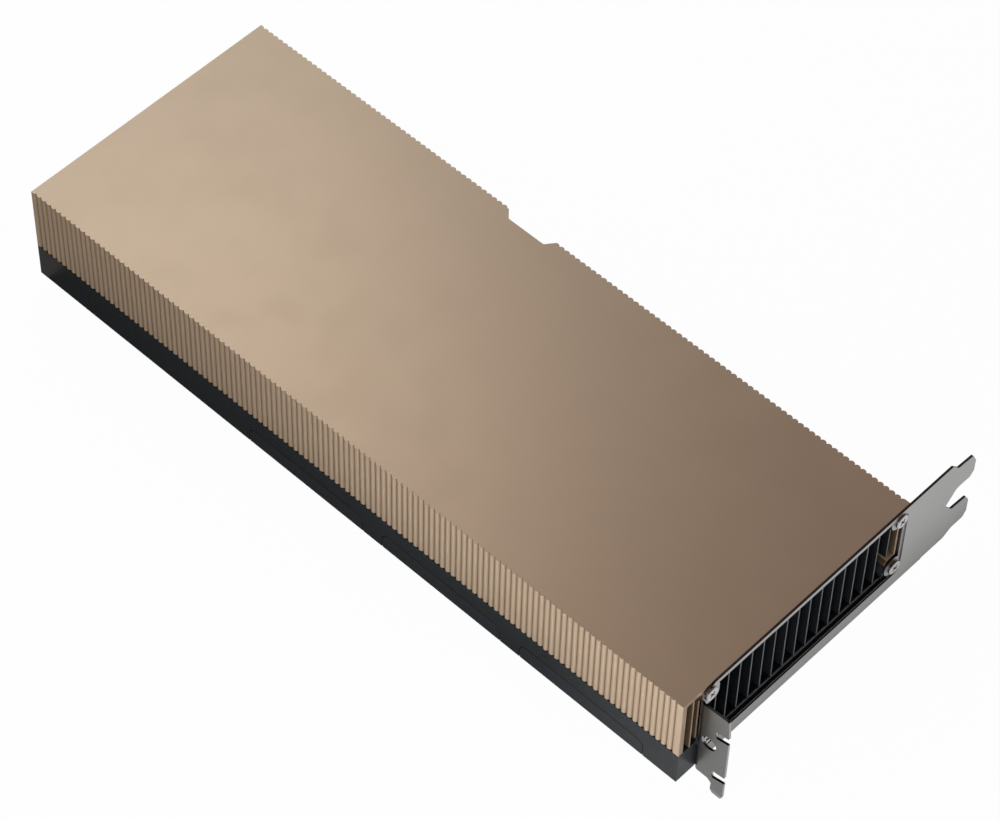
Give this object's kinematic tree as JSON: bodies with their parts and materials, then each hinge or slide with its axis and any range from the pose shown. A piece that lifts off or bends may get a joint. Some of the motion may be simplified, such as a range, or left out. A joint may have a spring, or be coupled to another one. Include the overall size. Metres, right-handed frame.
{
  "type": "passive accelerator card",
  "caption": "Passive dual-slot accelerator card with a gold reeded cover, black frame, fins behind an open bracket window and a stainless bracket.",
  "frame": {"origin": "middle of the bounding box's bottom face; the lowest point is the finger of the bracket's tab", "axes": "+X from the rear end with the power socket towards the bracket, +Y from the edge with the bridge caps towards the slot edge, +Z from the back plate up to the gold cover"},
  "size_m": [0.2784, 0.1278, 0.0441],
  "materials": {
    "gold_shell": "satin champagne-gold finish on a metal casting",
    "black_metal": "fine matt black powder coat",
    "black_plastic": "moulded matt black",
    "bracket_steel": "satin stainless sheet",
    "screw_steel": "bright plated steel",
    "board_laminate": "black solder mask",
    "contact_gold": "hard gold plating",
    "substrate_laminate": "green package laminate",
    "plated_copper": "nickel plated",
    "silicon": "polished silicon",
    "cooler_black": "black anodised",
    "spring_steel": "plain spring steel",
    "ferrite": "moulded grey",
    "chip_mould": "moulded black",
    "pad_rubber": "soft grey-blue pad",
    "capacitor_mould": "moulded dark",
    "black_screw": "black zinc"
  },
  "bodies": {
    "root": {"shroud": "gold_shell", "base_frame": "black_metal", "backplate": "black_metal", "bridge_cover_1": "black_plastic", "bridge_cover_2": "black_plastic", "bridge_cover_3": "black_plastic", "bracket": "bracket_steel", "bracket_screws": "screw_steel", "circuit_board": "board_laminate", "edge_contacts": "contact_gold", "bridge_contacts": "contact_gold", "processor_substrate": "substrate_laminate", "package_stiffener": "plated_copper", "processor_die": "silicon", "memory_stacks": "silicon", "heatsink_base": "cooler_black", "heatsink_fins": "cooler_black", "spring_plate": "spring_steel", "cooler_screws": "screw_steel", "inductors": "ferrite", "power_stages": "chip_mould", "thermal_pads": "pad_rubber", "capacitors": "capacitor_mould", "power_socket": "black_plastic", "power_pins": "contact_gold", "backplate_screws": "black_screw", "shroud_screws": "black_screw"}
  },
  "joints": []
}
